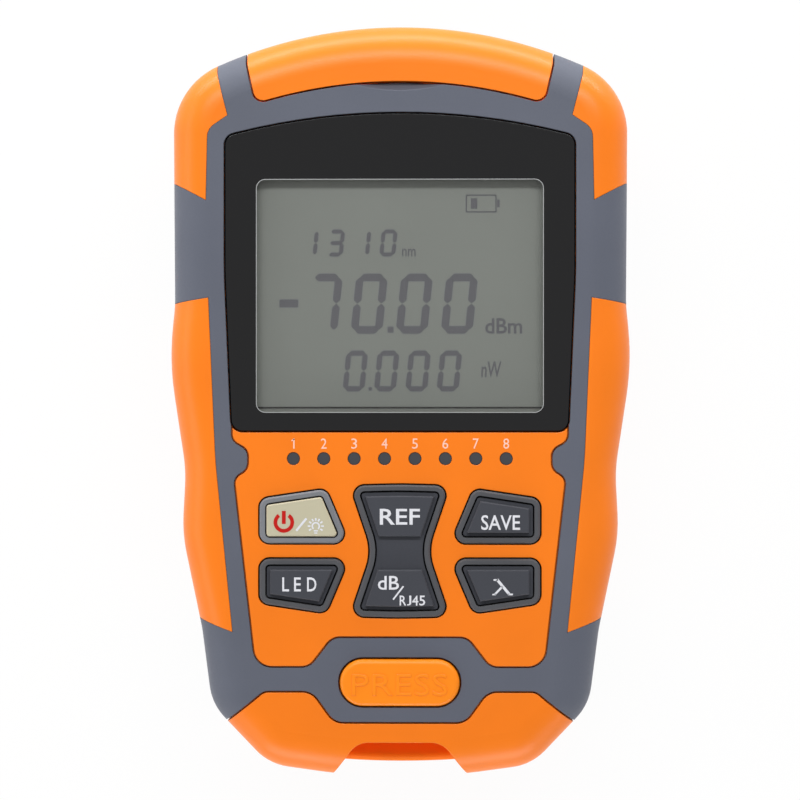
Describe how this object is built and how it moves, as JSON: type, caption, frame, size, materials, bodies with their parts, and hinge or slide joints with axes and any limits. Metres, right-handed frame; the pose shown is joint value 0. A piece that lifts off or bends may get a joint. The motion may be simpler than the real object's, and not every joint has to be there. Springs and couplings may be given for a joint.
{
  "type": "optical power meter",
  "caption": "Handheld optical power meter with rubber-skinned casing, display, rocker keypad, flip cover over the fibre ports, release button and slide-out cable-test remote.",
  "frame": {"origin": "middle of the back face's box, on the surface that the meter lies on", "axes": "+X to the meter's right, +Y towards the port end, +Z out of the display"},
  "size_m": [0.075, 0.1219, 0.0298],
  "materials": {
    "orange_abs": "fine-textured moulded ABS",
    "grey_elastomer": "matt soft-touch skin",
    "grey_silicone": "matt silicone",
    "dark_silicone": "matt silicone",
    "beige_silicone": "matt translucent silicone",
    "window_acrylic": "clear sheet printed black behind its border",
    "lcd_glass": "reflective liquid crystal panel",
    "black_foam": "foam tape",
    "white_plastic": "white moulded plastic",
    "smoked_plastic": "smoked clear plastic",
    "black_plastic": "black moulded plastic",
    "mirror_plastic": "metallised bowl",
    "steel": "plain steel",
    "nickel": "nickel plate",
    "brass": "turned brass",
    "circuit_board": "green solder mask",
    "battery_wrap": "plain shrink sleeve"
  },
  "bodies": {
    "meter": {"front_shell": "orange_abs", "front_grip_skin": "grey_elastomer", "back_shell": "orange_abs", "back_grip_skin": "grey_elastomer", "cover_hinge_pin": "steel", "display_window": "window_acrylic", "window_tape": "black_foam", "lcd_gasket": "black_foam", "lcd_frame": "steel", "lcd_glass": "lcd_glass", "lcd_backlight": "white_plastic", "keypad_mat": "grey_silicone", "key_domes": "steel", "light_pipe_bar": "smoked_plastic", "indicator_leds": "white_plastic", "button_spring": "steel", "power_meter_port": "nickel", "photodetector": "nickel", "laser_port": "nickel", "laser_module": "brass", "torch_reflector": "mirror_plastic", "torch_led": "white_plastic", "main_board": "circuit_board", "main_jack": "black_plastic", "contact_plates": "nickel", "contact_springs": "steel", "battery_cell_1": "battery_wrap", "battery_cell_2": "battery_wrap", "battery_cell_3": "battery_wrap", "housing_screws": "steel", "board_screws": "steel"},
    "cover": {"top_cover": "orange_abs"},
    "power_key": {"key_power": "beige_silicone"},
    "led_key": {"key_led": "dark_silicone"},
    "save_key": {"key_save": "dark_silicone"},
    "wavelength_key": {"key_wavelength": "dark_silicone"},
    "ref_db_key": {"key_ref_db": "dark_silicone"},
    "release_button": {"release_button": "orange_abs"},
    "battery_door": {"battery_door": "orange_abs"},
    "remote": {"remote_case": "orange_abs", "remote_cover": "orange_abs", "remote_jack": "black_plastic", "remote_board": "circuit_board"}
  },
  "joints": [
    {"name": "cover_hinge", "type": "hinge", "parent": "meter", "child": "cover", "pos_m": [0, 0.0587, 0.0026], "axis": [-1, 0, 0], "range_deg": [0, 90]},
    {"name": "power_press", "type": "slide", "parent": "meter", "child": "power_key", "axis": [0, 0, -1], "range_m": [0, 0.0008], "stiffness_N_per_m": 500, "springref_m": -0.001},
    {"name": "led_press", "type": "slide", "parent": "meter", "child": "led_key", "axis": [0, 0, -1], "range_m": [0, 0.0008], "stiffness_N_per_m": 500, "springref_m": -0.001},
    {"name": "save_press", "type": "slide", "parent": "meter", "child": "save_key", "axis": [0, 0, -1], "range_m": [0, 0.0008], "stiffness_N_per_m": 500, "springref_m": -0.001},
    {"name": "wavelength_press", "type": "slide", "parent": "meter", "child": "wavelength_key", "axis": [0, 0, -1], "range_m": [0, 0.0008], "stiffness_N_per_m": 500, "springref_m": -0.001},
    {"name": "ref_db_rock", "type": "hinge", "parent": "meter", "child": "ref_db_key", "pos_m": [0, -0.0242, 0.0273], "axis": [1, 0, 0], "range_deg": [-2.5, 2.5], "stiffness_Nm_per_rad": 0.15},
    {"name": "release_press", "type": "slide", "parent": "meter", "child": "release_button", "axis": [0, 0, -1], "range_m": [0, 0.0012], "stiffness_N_per_m": 600, "springref_m": -0.001, "deforming": ["button_spring"]},
    {"name": "battery_door_swing", "type": "hinge", "parent": "meter", "child": "battery_door", "pos_m": [0, 0.02665, 0.0003], "axis": [1, 0, 0], "range_deg": [0, 70]},
    {"name": "remote_slide", "type": "slide", "parent": "meter", "child": "remote", "axis": [0, -1, 0], "range_m": [0, 0.036]}
  ]
}
